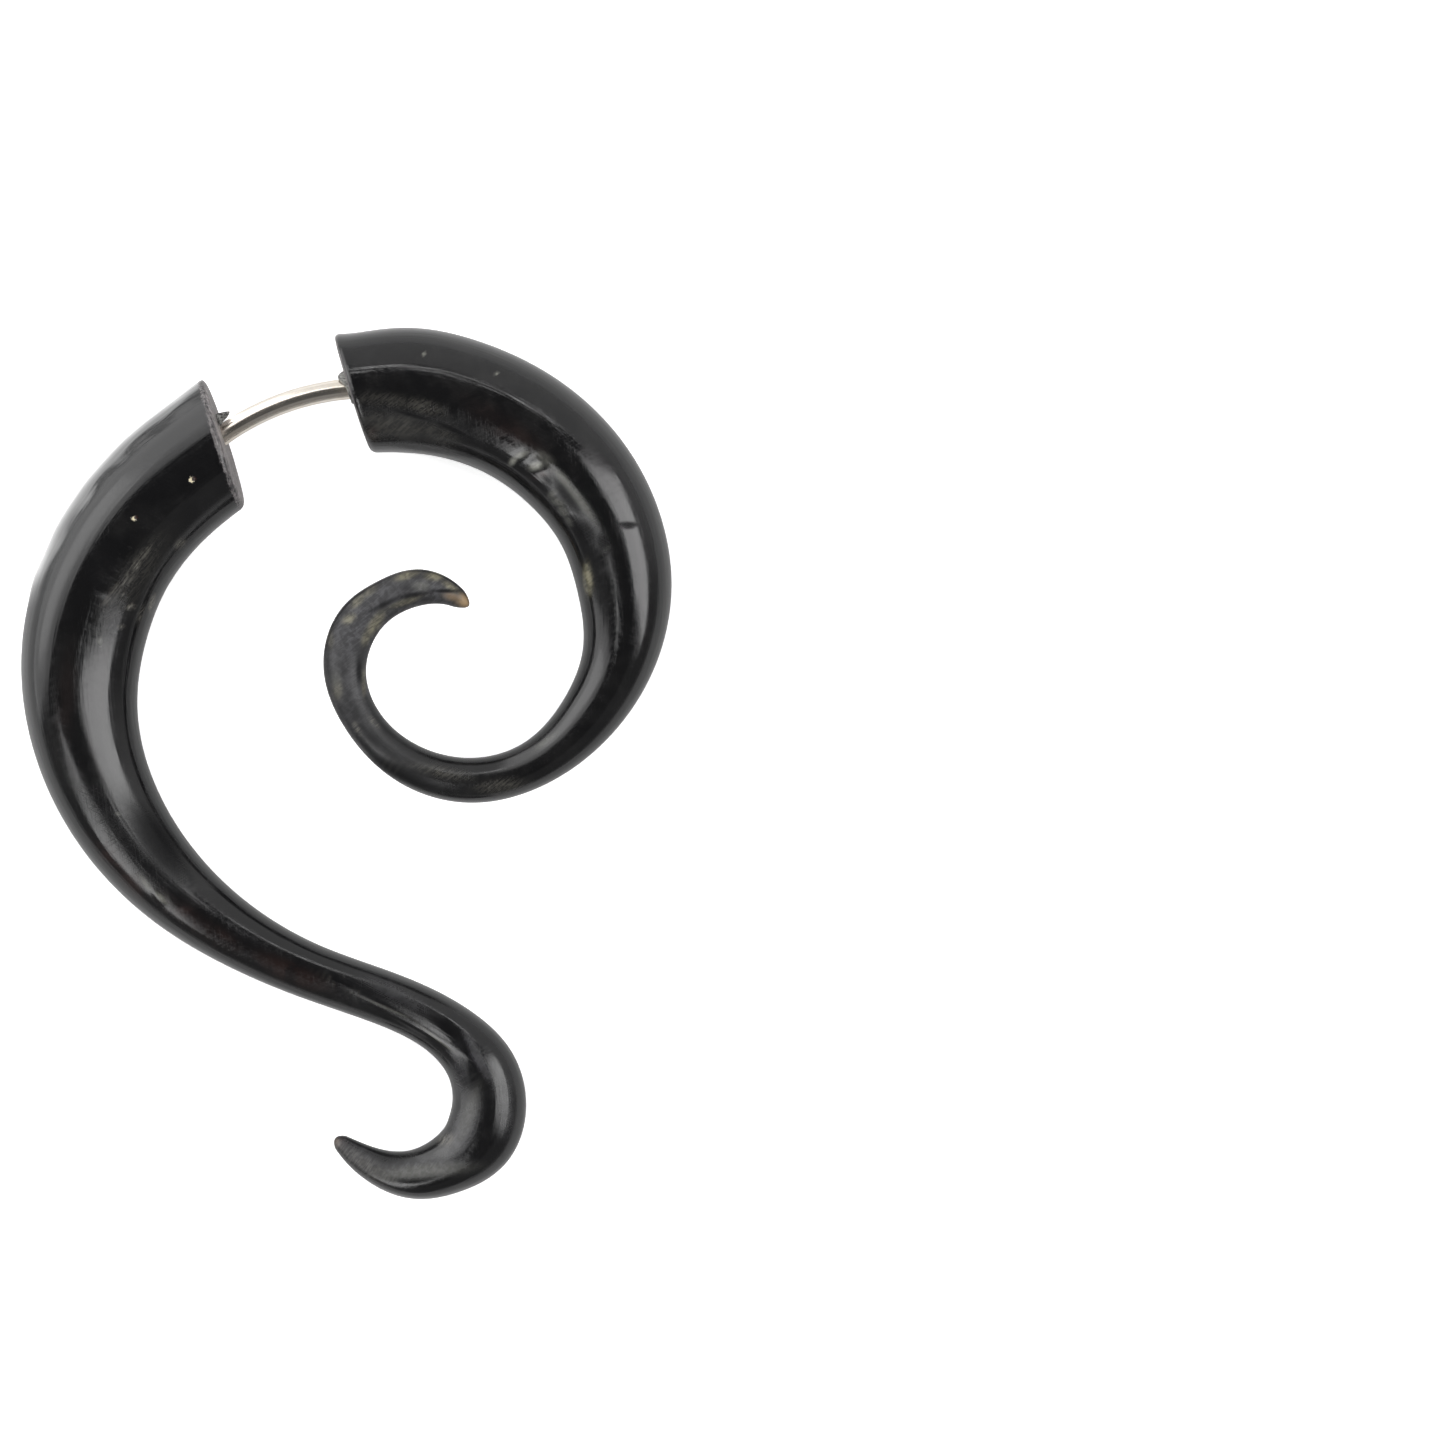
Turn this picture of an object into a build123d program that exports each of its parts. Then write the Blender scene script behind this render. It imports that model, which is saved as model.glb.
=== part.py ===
from build123d import *
from collections import namedtuple
from math import atan2, cos, degrees, radians, sin
import os

# A spiral hook earring in two carved horn pieces on one bent steel post.
# Millimetres and degrees. It lies on its side as on a table: +Z is up from the table, +Y runs
# from the tail to the ear, and the origin is on the table under the middle of the outline.

# The gap for the ear, between two cut faces that are square to the line across it
lobe_gap = 8.5
gap_heading = 17.3

# The horn at its thick ends, broad way in the plane of the curl and deep way across that plane
hook_width = 7.8
hook_depth = 7.2
curl_width = 7.7
curl_depth = 7.2
stock_length = 2.4
edge_round = 0.25
tip_round = 0.3

# How far each centreline runs from the middle of its cut face
hook_reach = 25.5
hook_drop = 45.8
curl_reach = 17.0
curl_drop = 24.2
hook_end_heading = 215.0
curl_end_heading = 1.0

# The post, a wire with a straight end in each horn piece and one even bend between them
post_diameter = 1.3
post_turn = 31.0
post_engagement = 5.0
post_lead = 0.2
push_clearance = 0.03
glue_clearance = 0.05
hole_floor_gap = 0.4

# Where the middle of each cut face lies outwards from the gap's line, and how much further
# outwards the post goes in
hook_face_offset = -0.74
curl_face_offset = -0.08
hook_post_offset = 0.58
curl_post_offset = 0.29

# Sections of each horn piece in order from the cut face to the tip. across and down are the
# centre's place as shares of the piece's reach and drop, wide and deep are shares of the
# piece's width and depth at the cut.
Section = namedtuple("Section", "across down wide deep")
hook_sections = [
    Section(0.000, 0.000, 1.00, 1.00),
    Section(-0.155, 0.068, 1.00, 1.00),
    Section(-0.270, 0.148, 1.00, 1.00),
    Section(-0.339, 0.242, 0.99, 0.99),
    Section(-0.357, 0.344, 0.92, 0.93),
    Section(-0.321, 0.444, 0.83, 0.85),
    Section(-0.238, 0.535, 0.74, 0.76),
    Section(-0.117, 0.612, 0.63, 0.66),
    Section(0.031, 0.673, 0.52, 0.56),
    Section(0.195, 0.719, 0.45, 0.48),
    Section(0.367, 0.754, 0.44, 0.46),
    Section(0.493, 0.785, 0.45, 0.47),
    Section(0.569, 0.815, 0.49, 0.50),
    Section(0.625, 0.855, 0.56, 0.54),
    Section(0.643, 0.906, 0.60, 0.57),
    Section(0.616, 0.953, 0.59, 0.56),
    Section(0.544, 0.986, 0.49, 0.49),
    Section(0.456, 1.000, 0.40, 0.41),
    Section(0.367, 0.989, 0.29, 0.31),
    Section(0.307, 0.969, 0.20, 0.21),
    Section(0.264, 0.950, 0.11, 0.12),
]
curl_sections = [
    Section(0.000, 0.000, 0.98, 0.99),
    Section(0.197, -0.008, 1.02, 1.00),
    Section(0.385, 0.013, 1.00, 1.00),
    Section(0.614, 0.081, 0.96, 0.97),
    Section(0.807, 0.192, 0.92, 0.93),
    Section(0.942, 0.338, 0.85, 0.87),
    Section(1.000, 0.508, 0.77, 0.79),
    Section(0.978, 0.682, 0.61, 0.66),
    Section(0.863, 0.836, 0.49, 0.54),
    Section(0.678, 0.953, 0.39, 0.45),
    Section(0.440, 1.000, 0.37, 0.40),
    Section(0.200, 0.956, 0.34, 0.37),
    Section(0.024, 0.833, 0.31, 0.35),
    Section(-0.030, 0.706, 0.35, 0.36),
    Section(0.029, 0.584, 0.36, 0.36),
    Section(0.126, 0.529, 0.32, 0.33),
    Section(0.244, 0.501, 0.30, 0.30),
    Section(0.366, 0.520, 0.19, 0.20),
    Section(0.427, 0.549, 0.11, 0.12),
]

# The rows whose undersides touch the table: both thick parts and the bend of the tail
hook_rest_row = 3
tail_rest_row = 14
curl_rest_row = 2


def heading(angle):
    """A direction in the plane of the curl, counter-clockwise from +X."""
    return Vector(cos(radians(angle)), sin(radians(angle)), 0)


def gap_spot(along, outward):
    """A point given by how far it lies along the line across the gap and outwards from it."""
    return heading(gap_heading) * along + heading(gap_heading + 90) * outward


def centreline(sections, face_middle, reach, drop):
    """The middles of the sections of one horn piece."""
    return [face_middle + Vector(s.across * reach, -s.down * drop) for s in sections]


def ovals(sections, centres, end_heading, width, depth):
    """Oval sections square to their centreline, with stock beyond the oblique cut."""
    stock = centres[0] - heading(end_heading) * stock_length
    points = [stock] + centres
    axis = Edge.make_spline(points, tangents=[heading(end_heading), centres[-1] - centres[-2]])
    made = []
    for section, point in zip([sections[0]] + sections, points):
        square = Plane(origin=point, x_dir=Vector(0, 0, 1), z_dir=axis.tangent_at(point))
        with BuildSketch(square) as oval:
            Ellipse(section.deep * depth / 2, section.wide * width / 2)
        made.append(oval.sketch)
    return made


half_gap = lobe_gap / 2
half_turn = post_turn / 2
post_radius = post_diameter / 2
hole_depth = post_engagement + hole_floor_gap

hook_face = gap_spot(-half_gap, hook_face_offset)
curl_face = gap_spot(half_gap, curl_face_offset)
hook_entry = gap_spot(-half_gap, hook_face_offset + hook_post_offset)
curl_entry = gap_spot(half_gap, curl_face_offset + curl_post_offset)
post_span = curl_entry - hook_entry
post_heading = degrees(atan2(post_span.Y, post_span.X))
out_of_hook = heading(post_heading + half_turn)
into_curl = heading(post_heading - half_turn)
hook_centres = centreline(hook_sections, hook_face, hook_reach, hook_drop)
curl_centres = centreline(curl_sections, curl_face, curl_reach, curl_drop)

# The hook, with its oblique cut, its rounded rim and tip, and the hole that slides on the post
with BuildPart() as hook:
    loft(ovals(hook_sections, hook_centres, hook_end_heading, hook_width, hook_depth))
    with BuildSketch(Plane(origin=hook_face, z_dir=heading(gap_heading))):
        Rectangle(2 * hook_depth, 2 * hook_width)
    extrude(amount=2 * stock_length, mode=Mode.SUBTRACT)
    hook_cut = hook.faces().sort_by_distance(hook_face)[0]
    fillet(hook_cut.edges(), edge_round)
    hook_tip = hook.faces().sort_by_distance(hook_centres[-1])[0]
    fillet(hook_tip.edges(), tip_round)
    with Locations(Plane(origin=hook_entry, z_dir=out_of_hook)):
        Hole(post_radius + push_clearance, hole_depth)

# The spiral, made the same way, with the hole that the post is glued into
with BuildPart() as spiral:
    loft(ovals(curl_sections, curl_centres, curl_end_heading, curl_width, curl_depth))
    with BuildSketch(Plane(origin=curl_face, z_dir=heading(gap_heading + 180))):
        Rectangle(2 * curl_depth, 2 * curl_width)
    extrude(amount=2 * stock_length, mode=Mode.SUBTRACT)
    curl_cut = spiral.faces().sort_by_distance(curl_face)[0]
    fillet(curl_cut.edges(), edge_round)
    curl_tip = spiral.faces().sort_by_distance(curl_centres[-1])[0]
    fillet(curl_tip.edges(), tip_round)
    with Locations(Plane(origin=curl_entry, z_dir=-into_curl)):
        Hole(post_radius + glue_clearance, hole_depth)

# The post, straight inside each hole and bent evenly across the gap
with BuildPart() as post:
    with BuildLine() as wire:
        Line(hook_entry - out_of_hook * post_engagement, hook_entry)
        TangentArc(hook_entry, curl_entry, tangent=out_of_hook)
        Line(curl_entry, curl_entry + into_curl * post_engagement)
    with BuildSketch(Plane(origin=wire.line @ 0, z_dir=wire.line % 0)):
        Circle(post_radius)
    sweep(path=wire.line)
    chamfer(post.edges().group_by(Edge.length)[0], post_lead)

# The table lies under three rows. The earring is turned onto it, and the origin goes under
# the middle of the outline.
rests = [
    hook_centres[hook_rest_row] - Vector(0, 0, hook_sections[hook_rest_row].deep * hook_depth / 2),
    hook_centres[tail_rest_row] - Vector(0, 0, hook_sections[tail_rest_row].deep * hook_depth / 2),
    curl_centres[curl_rest_row] - Vector(0, 0, curl_sections[curl_rest_row].deep * curl_depth / 2),
]
up = (rests[1] - rests[0]).cross(rests[2] - rests[0]).normalized()
table = Plane(origin=rests[0], x_dir=Vector(up.Z, 0, -up.X), z_dir=up)
for piece in (hook, spiral, post):
    piece.part.move(table.location.inverse())
outline = hook.part.bounding_box().add(spiral.part.bounding_box())
under_middle = Location((-outline.center().X, -outline.center().Y, -outline.min.Z))

os.makedirs("parts", exist_ok=True)
for piece, name in ((hook, "hook"), (spiral, "spiral"), (post, "post")):
    piece.part.move(under_middle)
    piece.part.label = name
    export_step(piece.part, f"parts/{name}.step")
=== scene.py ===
import bpy
import numpy as np
from collections import namedtuple
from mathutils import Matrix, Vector


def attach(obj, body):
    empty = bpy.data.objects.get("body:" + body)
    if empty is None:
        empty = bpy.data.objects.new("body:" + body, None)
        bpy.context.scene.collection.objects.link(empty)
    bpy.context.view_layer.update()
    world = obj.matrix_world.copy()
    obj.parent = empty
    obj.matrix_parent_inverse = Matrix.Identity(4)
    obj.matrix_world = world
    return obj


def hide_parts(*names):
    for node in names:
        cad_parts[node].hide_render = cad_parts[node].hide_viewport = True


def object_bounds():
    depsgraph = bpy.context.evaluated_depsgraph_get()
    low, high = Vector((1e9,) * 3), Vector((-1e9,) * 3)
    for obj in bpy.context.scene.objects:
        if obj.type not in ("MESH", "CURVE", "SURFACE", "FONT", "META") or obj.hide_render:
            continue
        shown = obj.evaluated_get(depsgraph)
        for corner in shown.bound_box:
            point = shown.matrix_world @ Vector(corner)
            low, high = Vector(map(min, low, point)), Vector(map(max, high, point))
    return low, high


# A carved horn earring on a bent steel post, lying on its side on a pale table.
# Metres throughout. The horn is worked out lying flat and then leaned onto the table.

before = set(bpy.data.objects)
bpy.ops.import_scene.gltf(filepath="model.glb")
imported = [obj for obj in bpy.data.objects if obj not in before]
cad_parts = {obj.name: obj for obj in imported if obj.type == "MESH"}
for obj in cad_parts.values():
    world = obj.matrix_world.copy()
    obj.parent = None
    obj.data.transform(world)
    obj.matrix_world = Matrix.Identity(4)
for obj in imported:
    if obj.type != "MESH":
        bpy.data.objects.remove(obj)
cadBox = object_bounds()
print("frame loaded", sorted(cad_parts))

# Shared places

gap = {
    "heading": 17.3,  # the line across the ear's gap, degrees from +X
    "width": 0.0085,
}

photo = {  # the photograph's frame, looked at straight down
    "width": 1445,
    "height": 1446,
    "pixelsPerMetre": 16000,  # on the level of the horn's middle
    "middle": Vector((0.0235, 0.0026, 0.0036)),  # what the middle pixel looks at
    "distance": 0.330,
    "sensor": 36.0,
}

# One section of a horn piece. across and down place its middle as shares of reach and drop, wide
# and deep are shares of the thick end, crest moves the ridge of its upper side, and flat widens it.
Row = namedtuple("Row", "across down wide deep crest flat")

# An oval mark seen from above: the pixel of its middle, its half length and half width in
# pixels, the heading of its long way in degrees from +X, and how strong or how high it is.
Mark = namedtuple("Mark", "across down long short heading amount")

# A small pale pit: the pixel of its middle and its radius in metres.
Pit = namedtuple("Pit", "across down radius")


straightUp = np.array([0, 0, 1.0])


def marks(*rows):
    return [Mark(*row) for row in rows]


def direction(degrees):
    # the unit vector in the table's plane at this angle from +X
    return np.array([np.cos(np.radians(degrees)), np.sin(np.radians(degrees)), 0.0])


def gapSpot(along, outward):
    # along the line across the gap, and outwards at a right angle to it
    return direction(gap["heading"]) * along + direction(gap["heading"] + 90) * outward


def leftOf(ahead):
    # a quarter turn to the left, seen from above
    return np.cross(straightUp, ahead)


def fullTurn(count):
    return np.linspace(0, 2 * np.pi, count, endpoint=False)


def unit(vectors):
    return vectors / np.linalg.norm(vectors, axis=-1, keepdims=True)


def smoothStep(low, high, value):
    # 0 below low, 1 above high, and an even S between them
    share = np.clip((value - low) / (high - low), 0, 1)
    return share**2 * (3 - 2 * share)


# Horn shapes

bothHorns = {
    "depth": 0.0072,
    "stock": 0.0024,  # how far the horn is drawn on past its cut face
    "rimRound": 0.00036,
    "holeDepth": 0.0054,
    "wobble": 0.010,  # share of the section that the hand carving takes
}

hookHorn = bothHorns | {
    "reach": 0.0255,
    "drop": 0.0458,
    "width": 0.0078,
    "faceAlong": -0.5,  # share of the gap's width
    "faceOut": -0.00074,  # of the cut face's middle, off the line across the gap
    "entryOut": -0.00016,  # of the post's hole
    "endHeading": 215.0,  # which way the horn starts from its cut face
    "rimSawn": 1.0,  # how sawn the rounded rim looks
    "fray": 0.00085,  # how far the sawn look runs onto the side
    "sawnLight": 1.0,  # how pale the crumbs on the cut face are
    "tipRound": 0.00055,
    "holeRadius": 0.00068,
    "wobbleSeed": 3,
    "restRows": (3, 14),  # the sections that rest on the table
    "rows": [
        Row(0.000, 0.000, 1.00, 1.00, -0.02, 0.08),
        Row(-0.155, 0.068, 1.00, 1.00, -0.08, 0.08),
        Row(-0.270, 0.148, 1.00, 1.00, -0.14, 0.06),
        Row(-0.339, 0.242, 0.99, 0.99, -0.24, 0.05),
        Row(-0.357, 0.344, 0.92, 0.93, -0.24, 0.05),
        Row(-0.321, 0.444, 0.83, 0.85, -0.13, 0.05),
        Row(-0.238, 0.535, 0.74, 0.76, -0.08, 0.05),
        Row(-0.117, 0.612, 0.63, 0.66, -0.06, 0.05),
        Row(0.031, 0.673, 0.52, 0.56, 0.00, 0.05),
        Row(0.195, 0.719, 0.45, 0.48, 0.08, 0.08),
        Row(0.367, 0.754, 0.44, 0.46, 0.15, 0.08),
        Row(0.493, 0.785, 0.45, 0.47, 0.12, 0.08),
        Row(0.569, 0.815, 0.49, 0.50, 0.06, 0.05),
        Row(0.625, 0.855, 0.56, 0.54, 0.00, 0.05),
        Row(0.643, 0.906, 0.60, 0.57, 0.00, 0.05),
        Row(0.616, 0.953, 0.59, 0.56, 0.04, 0.05),
        Row(0.544, 0.986, 0.49, 0.49, 0.14, 0.05),
        Row(0.456, 1.000, 0.40, 0.41, 0.22, 0.05),
        Row(0.367, 0.989, 0.29, 0.31, 0.22, 0.0),
        Row(0.307, 0.969, 0.20, 0.21, 0.15, 0.0),
        Row(0.264, 0.950, 0.11, 0.12, 0.10, 0.0),
    ],
    "relief": marks(  # heights in metres
        (158, 897, 9, 3, -52, 0.00004), (98, 590, 5, 12, 70, -0.00002), (60, 830, 12, 6, -60, -0.00002),
        (405, 1020, 60, 4, -30, 0.00005),
    ),
    "flare": marks(  # how far the outer side stands out, in metres
        (222, 370, 30, 9, 36, 0.00026), (178, 402, 30, 9, 36, 0.00028), (135, 435, 30, 9, 40, 0.0003),
        (97, 473, 30, 9, 47, 0.00025), (64, 516, 30, 9, 58, 0.0002), (41, 566, 30, 9, 68, 0.00012),
    ),
    "paint": {
        # grey unpolished horn; on the tail these marks are made stronger so that the grey also stands in
        # for the light of its reflections, a painted highlight
        "matte": marks(
            (112, 620, 10, 26, 0, 0.25), (362, 1160, 42, 10, -32, 0.65), (420, 1168, 44, 9, 5, 0.9),
            (462, 1130, 12, 30, -25, 0.65), (460, 1075, 8, 30, 5, 0.35), (477, 1056, 28, 5, -62, 0.6),
            (506, 1108, 9, 32, 0, 0.25), (398, 994, 40, 8, -28, 0.3),
        ),
        "dull": marks(
            (118, 836, 92, 16, -56, 0.62), (58, 560, 110, 24, 76, 0.3), (400, 1165, 60, 14, 0, 0.5),
            (380, 995, 60, 12, -28, 0.6), (500, 1105, 18, 50, 5, 0.3),
        ),
        "fibre": marks(
            (145, 553, 11, 4, 52, 0.45), (136, 566, 11, 4, 60, 0.65), (127, 580, 11, 4, 56, 0.6),
            (117, 590, 12, 5, 50, 0.4), (108, 600, 10, 4, 48, 0.3), (131, 607, 5, 2.5, 20, 1),
            (121, 594, 2.5, 1.6, 0, 1), (152, 603, 9, 3, 76, 0.7), (141, 614, 9, 3, 70, 0.4),
            (180, 544, 6, 4, 40, 0.55), (121, 627, 4, 2, 30, 0.6), (135, 577, 50, 15, 56, 0.14),
            (360, 1162, 36, 8, -32, 0.28), (446, 1139, 8, 6, 20, 0.6),
        ),
        # pale marks, partly wear: the lines and patches on the tail and the brightened end of the long
        # reflection low on the left are painted highlights
        "wearAndHighlights": marks(
            (161, 898, 8, 2.6, -45, 0.55), (146, 884, 10, 3, -52, 0.3), (100, 641, 2.5, 4, 0, 0.3),
            (118, 814, 2, 2, 0, 0.4), (386, 1008, 30, 1.3, -24, 0.22), (436, 1038, 24, 1.3, -38, 0.3),
            (424, 1171, 46, 7, 5, 0.24), (469, 1114, 7, 30, -20, 0.12),
        ),
        "brown": marks(
            (120, 868, 40, 10, -50, 0.5), (200, 925, 50, 10, -35, 0.6), (290, 972, 40, 10, -24, 0.5),
            (66, 700, 50, 10, 84, 0.15), (337, 1143, 9, 8, -35, 0.7),
        ),
        "amber": marks((334, 1142, 5, 5, 0, 0.14)),
        # painted shade: blackens the colour and dims the reflection, to end the long reflection on the
        # hook and draw a dark streak beside the tail's highlight
        "dark": marks((481, 1095, 3, 38, 3, 0.35), (157, 843, 58, 17, -56, 1)),
        "ringed": marks((345, 984, 30, 7, -22, 0.5), (392, 1176, 22, 8, -25, 0.4)),
    },
    "pits": [Pit(191, 479, 0.00019), Pit(135, 519, 0.00016)],
    "fibreHeading": 52.0,
}

spiralHorn = bothHorns | {
    "reach": 0.0170,
    "drop": 0.0242,
    "width": 0.0077,
    "faceAlong": 0.5,
    "faceOut": -0.00008,
    "entryOut": 0.00021,
    "endHeading": 1.0,
    "rimSawn": 0.35,
    "fray": 0.00012,
    "sawnLight": 0.40,
    "tipRound": 0.00090,
    "holeRadius": 0.00070,
    "wobbleSeed": 8,
    "restRows": (2,),
    "rows": [
        Row(0.000, 0.000, 0.98, 0.99, 0.00, 0.12),
        Row(0.197, -0.008, 1.02, 1.00, 0.00, 0.12),
        Row(0.385, 0.013, 1.00, 1.00, 0.00, 0.12),
        Row(0.614, 0.081, 0.96, 0.97, 0.00, 0.12),
        Row(0.807, 0.192, 0.92, 0.93, 0.00, 0.08),
        Row(0.942, 0.338, 0.85, 0.87, 0.00, 0.05),
        Row(1.000, 0.508, 0.77, 0.79, 0.00, 0.05),
        Row(0.978, 0.682, 0.61, 0.66, 0.00, 0.05),
        Row(0.863, 0.836, 0.49, 0.54, 0.00, 0.05),
        Row(0.678, 0.953, 0.39, 0.45, 0.00, 0.05),
        Row(0.440, 1.000, 0.37, 0.40, 0.00, 0.05),
        Row(0.200, 0.956, 0.34, 0.37, 0.00, 0.08),
        Row(0.024, 0.833, 0.31, 0.35, 0.00, 0.10),
        Row(-0.030, 0.706, 0.35, 0.36, 0.00, 0.10),
        Row(0.029, 0.584, 0.36, 0.36, 0.00, 0.08),
        Row(0.126, 0.529, 0.32, 0.33, 0.00, 0.05),
        Row(0.244, 0.501, 0.30, 0.30, 0.00, 0.0),
        Row(0.366, 0.520, 0.19, 0.20, 0.00, 0.0),
        Row(0.427, 0.549, 0.11, 0.12, 0.00, 0.0),
    ],
    "relief": marks(
        (518, 457, 9, 5, 30, 0.00003), (537, 464, 9, 6, 10, 0.00004), (544, 474, 10, 6, 15, -0.00002),
        (554, 495, 4, 3, 40, 0.00003), (559, 505, 4, 3, 40, -0.00003), (566, 515, 5, 3, 40, 0.00002),
        (603, 548, 9, 7, -60, -0.00001), (588, 580, 4, 14, 0, 0.00002),
    ),
    "flare": [],
    "paint": {
        "matte": marks(
            (362, 618, 62, 50, 35, 1), (440, 585, 46, 30, -20, 1), (348, 685, 56, 32, -84, 0.6),
            (388, 755, 46, 24, -40, 0.12), (560, 503, 22, 7, -55, 0.35),
        ),
        "dull": marks(
            (405, 430, 60, 18, -12, 0.9), (360, 640, 90, 70, 70, 0.6), (385, 745, 70, 42, -45, 1),
            (450, 780, 50, 20, -5, 0.5), (579, 500, 36, 6, -52, 0.6), (540, 735, 50, 12, 35, 0.4),
        ),
        "fibre": marks(
            (386, 400, 34, 7, -5, 0.16), (424, 407, 20, 7, -16, 0.26), (397, 426, 34, 11, -8, 0.24),
            (436, 433, 22, 8, -20, 0.19), (373, 434, 9, 8, 0, 0.2), (588, 578, 4, 13, 0, 0.3),
            (357, 728, 7, 3, -60, 0.6), (374, 722, 7, 3, -50, 0.5), (500, 786, 24, 7, 6, 0.28),
            (440, 772, 30, 6, -12, 0.25),
        ),
        # pale marks, partly wear specks: on the knots, along the long streak below them and at the small
        # glint past its end they are painted highlights
        "wearAndHighlights": marks(
            (513, 461, 5, 3, 50, 0.75), (521, 455, 7, 3, 20, 0.6), (536, 466, 7, 4, 15, 0.85),
            (544, 459, 11, 6, -35, 0.22), (577, 498, 27, 4.5, -53, 0.32),
            (563, 480, 13, 4.5, -50, 0.36), (553, 494, 6, 4, 40, 0.24), (558, 502, 7, 4, -25, 0.32),
            (563, 511, 7, 4, -50, 0.28), (569, 521, 6, 3, -55, 0.2), (607, 548, 4, 2, 40, 0.2),
            (424, 354, 2.2, 1.2, 50, 0.75), (496.6, 373.5, 2.2, 1.2, 30, 0.75),
            (421, 586, 8, 5, 0, 0.28), (336, 680, 5, 9, 0, 0.14), (545, 742, 14, 3, 38, 0.2),
        ),
        "brown": marks(
            (543, 474, 10, 4, 15, 1), (505, 428, 44, 12, -35, 0.35), (372, 436, 7, 9, 0, 0.6),
            (640, 470, 24, 6, -60, 0.2),
        ),
        "olive": marks(
            (407, 575, 12, 4, 18, 0.85), (434, 576, 9, 4.5, -4, 1), (451, 587, 10, 3.5, -35, 0.9),
            (405, 602, 17, 3, 20, 0.6), (375, 624, 15, 5, 56, 0.95), (366, 638, 8, 4, 70, 0.75),
            (358, 601, 9, 4, 45, 0.6), (349, 619, 7, 4.5, 30, 0.7), (370, 591, 9, 4, 35, 0.4),
            (338, 690, 5, 9, 0, 0.3), (364, 681, 2.4, 14, 0, 0.5), (330, 640, 4, 9, 0, 0.25),
            (588, 579, 4.5, 15, 4, 0.85),
        ),
        "amber": marks((465, 601, 10, 7, -15, 1), (453, 597, 9, 4, -10, 0.7)),
        # painted shade: blackens the colour and dims the reflection along the dark lines of the curl and
        # the top, in the knot's hollow, across the long streak and in the chip
        "dark": marks(
            (385, 604, 20, 3, 26, 0.75), (414, 595, 20, 2.6, 8, 0.75), (446, 591, 16, 2.2, 0, 0.9),
            (359, 671, 2.8, 15, 0, 0.65), (352, 712, 20, 8, -60, 0.45), (400, 772, 48, 9, -22, 0.8),
            (366, 733, 22, 4, -50, 0.5), (372, 409, 20, 2.2, -2, 0.6), (412, 415, 26, 2.6, -16, 0.9),
            (452, 429, 24, 3.2, -24, 0.9), (440, 452, 60, 3, -8, 0.6), (548, 480, 9, 4, -40, 0.7),
            (567, 497, 30, 6, -53, 0.85), (585, 530, 20, 9, -53, 0.8), (604, 543, 12, 9, -50, 0.85),
            (628.5, 524.5, 12, 3.3, -2, 1), (629, 527, 8, 2.6, 4, 0.9),
        ),
        "ringed": marks((490, 785, 26, 8, 4, 0.35), (385, 762, 30, 9, -40, 0.25)),
    },
    "pits": [],
    "fibreHeading": 38.0,
}

hornGrid = {
    "around": 128,
    "crowding": 0.30,  # how much closer the lines lie on the upper side
    "along": 560,
    "tipRows": 12,
    "rimRows": 6,
    "faceRows": 16,
    "holeRows": 8,
    "halvings": 40,  # of the span in which the cut is searched
    "nudge": 1e-6,  # metres, to find which way a line of the side runs
    "faceSawn": 2.0,  # how sawn the cut face looks, where 1 is the most at a rim
}

carving = {  # the slow waves of uneven hand carving
    "waves": 9,
    "rounds": 3,  # the waves have one to this many crests around the horn
    "pitch": (250, 900),  # radians for each metre along the horn
    "fading": 0.2,  # how much each further wave is weakened
}


def faceMiddle(horn):
    return gapSpot(horn["faceAlong"] * gap["width"], horn["faceOut"])


def postEntry(horn):
    return gapSpot(horn["faceAlong"] * gap["width"], horn["entryOut"])


def faceDirection(horn):
    # out of the cut face into the gap
    return direction(gap["heading"]) * -np.sign(horn["faceAlong"])


def splineSlopes(knots, values, firstSlope, lastSlope):
    # slopes of the cubic spline through the values: at each inner knot the bend of the cubic
    # before it equals that of the cubic after it, and the two end slopes are given
    count = len(knots)
    spans = np.diff(knots)
    rises = np.diff(values, axis=0) / spans[:, None]
    system = np.eye(count)
    right = np.zeros_like(values)
    right[0], right[-1] = firstSlope, lastSlope
    for i in range(1, count - 1):
        system[i, i - 1 : i + 2] = spans[i], 2 * (spans[i - 1] + spans[i]), spans[i - 1]
        right[i] = 3 * (spans[i] * rises[i - 1] + spans[i - 1] * rises[i])
    return np.linalg.solve(system, right)


def splineAt(knots, values, slopes, where):
    # the cubic between two knots that has their values and slopes, and its rate of change
    i = np.clip(np.searchsorted(knots, where) - 1, 0, len(knots) - 2)
    span = (knots[i + 1] - knots[i])[..., None]
    p = (where - knots[i])[..., None] / span
    a, b, m, n = values[i], values[i + 1], slopes[i] * span, slopes[i + 1] * span
    value = (2 * p**3 - 3 * p**2 + 1) * a + (3 * p**2 - 2 * p**3) * b
    value += (p**3 - 2 * p**2 + p) * m + (p**3 - p**2) * n
    rate = 6 * (p**2 - p) * (a - b) + (3 * p**2 - 4 * p + 1) * m + (3 * p**2 - 2 * p) * n
    return value, rate / span


def hornSpline(horn):
    # the knots lie at the lengths of the straight chords between the sections' middles; each
    # knot holds the middle's place and the section's four shares
    rows = horn["rows"]
    middles = np.array([[r.across * horn["reach"], -r.down * horn["drop"], 0.0] for r in rows])
    middles += faceMiddle(horn)
    away = direction(horn["endHeading"])
    middles = np.vstack([middles[0] - away * horn["stock"], middles])
    shares = np.array([[r.wide, r.deep, r.crest, r.flat] for r in [rows[0], *rows]])
    chords = np.linalg.norm(np.diff(middles, axis=0), axis=1)
    knots = np.concatenate([[0.0], np.cumsum(chords)]) - horn["stock"]
    values = np.hstack([middles, shares])
    first, last = np.zeros(7), np.zeros(7)
    first[:3], last[:3] = away, unit(middles[-1] - middles[-2])
    last[3:] = (shares[-1] - shares[-2]) / chords[-1]
    return knots, values, splineSlopes(knots, values, first, last)


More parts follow.
